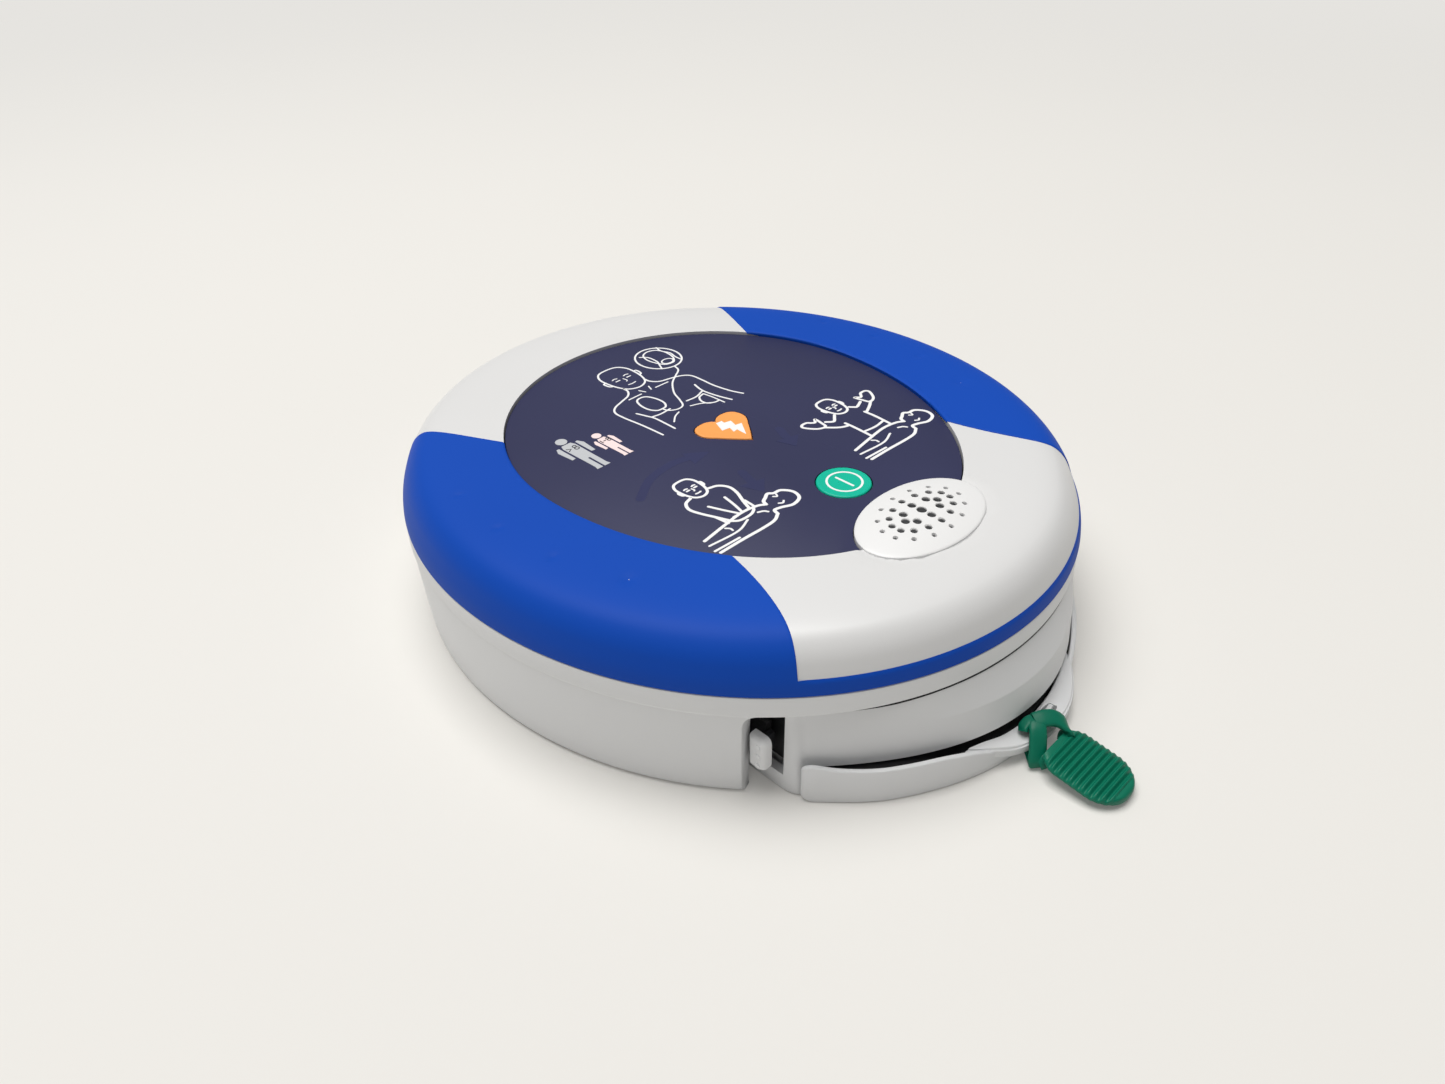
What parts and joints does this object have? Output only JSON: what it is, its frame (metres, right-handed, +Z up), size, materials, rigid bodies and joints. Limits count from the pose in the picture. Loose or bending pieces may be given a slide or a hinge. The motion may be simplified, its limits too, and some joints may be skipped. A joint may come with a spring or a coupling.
{
  "type": "public-access defibrillator",
  "caption": "Oval portable defibrillator with a soft two-tone cover, pictogram keypad, power and shock buttons, raised speaker and a slide-out battery and electrode cartridge with a pull tab.",
  "frame": {"origin": "On the floor that the device lies on, under the middle of its case, where the two axes of its oval nearly cross.", "axes": "+X is the device's right, +Y its top end, away from the loudspeaker, and +Z up out of its keypad. The cartridge slides out along -Y."},
  "size_m": [0.184, 0.2366, 0.0489],
  "materials": {
    "case_plastic": "satin",
    "cover_plastic": "satin",
    "grip_rubber": "matte",
    "membrane_print": "satin",
    "power_green": "satin",
    "shock_orange": "satin",
    "tab_green": "satin",
    "seal_rubber": "matte",
    "dark_plastic": "satin",
    "circuit_board": "satin",
    "bright_steel": "satin",
    "gold_plate": "polished",
    "bare_aluminium": "satin",
    "winding_copper": "satin",
    "cone_paper": "matte",
    "foil": "satin",
    "cell_wrap": "gloss",
    "pad_gel": "gloss",
    "lead_sleeve": "satin",
    "lamp_lens": "gloss"
  },
  "bodies": {
    "housing": {"rear_case": "case_plastic", "front_cover": "cover_plastic", "grip_overmould": "grip_rubber", "gasket_seal": "seal_rubber", "case_screw_1": "bright_steel", "case_screw_2": "bright_steel", "case_screw_3": "bright_steel", "case_screw_4": "bright_steel", "case_screw_5": "bright_steel", "case_screw_6": "bright_steel", "membrane_overlay": "membrane_print", "keypad_board": "circuit_board", "power_switch": "dark_plastic", "shock_switch": "dark_plastic", "status_lamp": "lamp_lens", "speaker_grille": "cover_plastic", "speaker_frame": "bright_steel", "speaker_magnet": "dark_plastic", "speaker_cone": "cone_paper", "main_board": "circuit_board", "hv_capacitor": "bare_aluminium", "transformer": "winding_copper", "inductor": "winding_copper", "discharge_relay": "dark_plastic", "discharge_module": "bare_aluminium", "contact_block": "dark_plastic", "contact_pin_1": "gold_plate", "contact_pin_2": "gold_plate", "contact_pin_3": "gold_plate", "contact_pin_4": "gold_plate", "data_port": "dark_plastic"},
    "power_button": {"power_button": "power_green"},
    "shock_button": {"shock_button": "shock_orange"},
    "cartridge": {"cartridge_shell": "case_plastic", "cartridge_lid": "case_plastic", "lid_screw_1": "bright_steel", "lid_screw_2": "bright_steel", "lid_screw_3": "bright_steel", "lid_screw_4": "bright_steel", "battery_cell_1": "cell_wrap", "battery_cell_2": "cell_wrap", "battery_cell_3": "cell_wrap", "battery_cell_4": "cell_wrap", "battery_cell_5": "cell_wrap", "battery_cell_6": "cell_wrap", "cell_holder": "dark_plastic", "contact_plate": "gold_plate", "cartridge_board": "circuit_board"},
    "release_clip_right": {"release_clip_right": "case_plastic"},
    "release_clip_left": {"release_clip_left": "case_plastic"},
    "electrode_drawer": {"drawer_tray": "case_plastic", "foil_lid": "foil", "electrode_pad_1": "pad_gel", "electrode_pad_2": "pad_gel", "electrode_lead": "lead_sleeve"},
    "pull_tab": {"pull_tab": "tab_green"}
  },
  "joints": [
    {"name": "power_press", "type": "slide", "parent": "housing", "child": "power_button", "axis": [0, 0, -1], "range_m": [0, 0.0006], "stiffness_N_per_m": 3000, "springref_m": -0.0002},
    {"name": "shock_press", "type": "slide", "parent": "housing", "child": "shock_button", "axis": [0, 0, -1], "range_m": [0, 0.0006], "stiffness_N_per_m": 3000, "springref_m": -0.0002},
    {"name": "cartridge_slide", "type": "slide", "parent": "housing", "child": "cartridge", "axis": [0, -1, 0], "range_m": [0, 0.105]},
    {"name": "clip_right_squeeze", "type": "hinge", "parent": "cartridge", "child": "release_clip_right", "pos_m": [0.05805, -0.0447, 0.013], "axis": [0, 0, -1], "range_deg": [0, 3.5], "stiffness_Nm_per_rad": 1.5, "springref_deg": -1.72},
    {"name": "clip_left_squeeze", "type": "hinge", "parent": "cartridge", "child": "release_clip_left", "pos_m": [-0.05805, -0.0447, 0.013], "axis": [0, 0, 1], "range_deg": [0, 3.5], "stiffness_Nm_per_rad": 1.5, "springref_deg": -1.72},
    {"name": "drawer_slide", "type": "slide", "parent": "cartridge", "child": "electrode_drawer", "axis": [0, -1, 0], "range_m": [0, 0.055]},
    {"name": "pull_tab_hinge", "type": "hinge", "parent": "electrode_drawer", "child": "pull_tab", "pos_m": [0, -0.1127, 0.0043], "axis": [-1, 0, 0], "range_deg": [0, 95]}
  ]
}
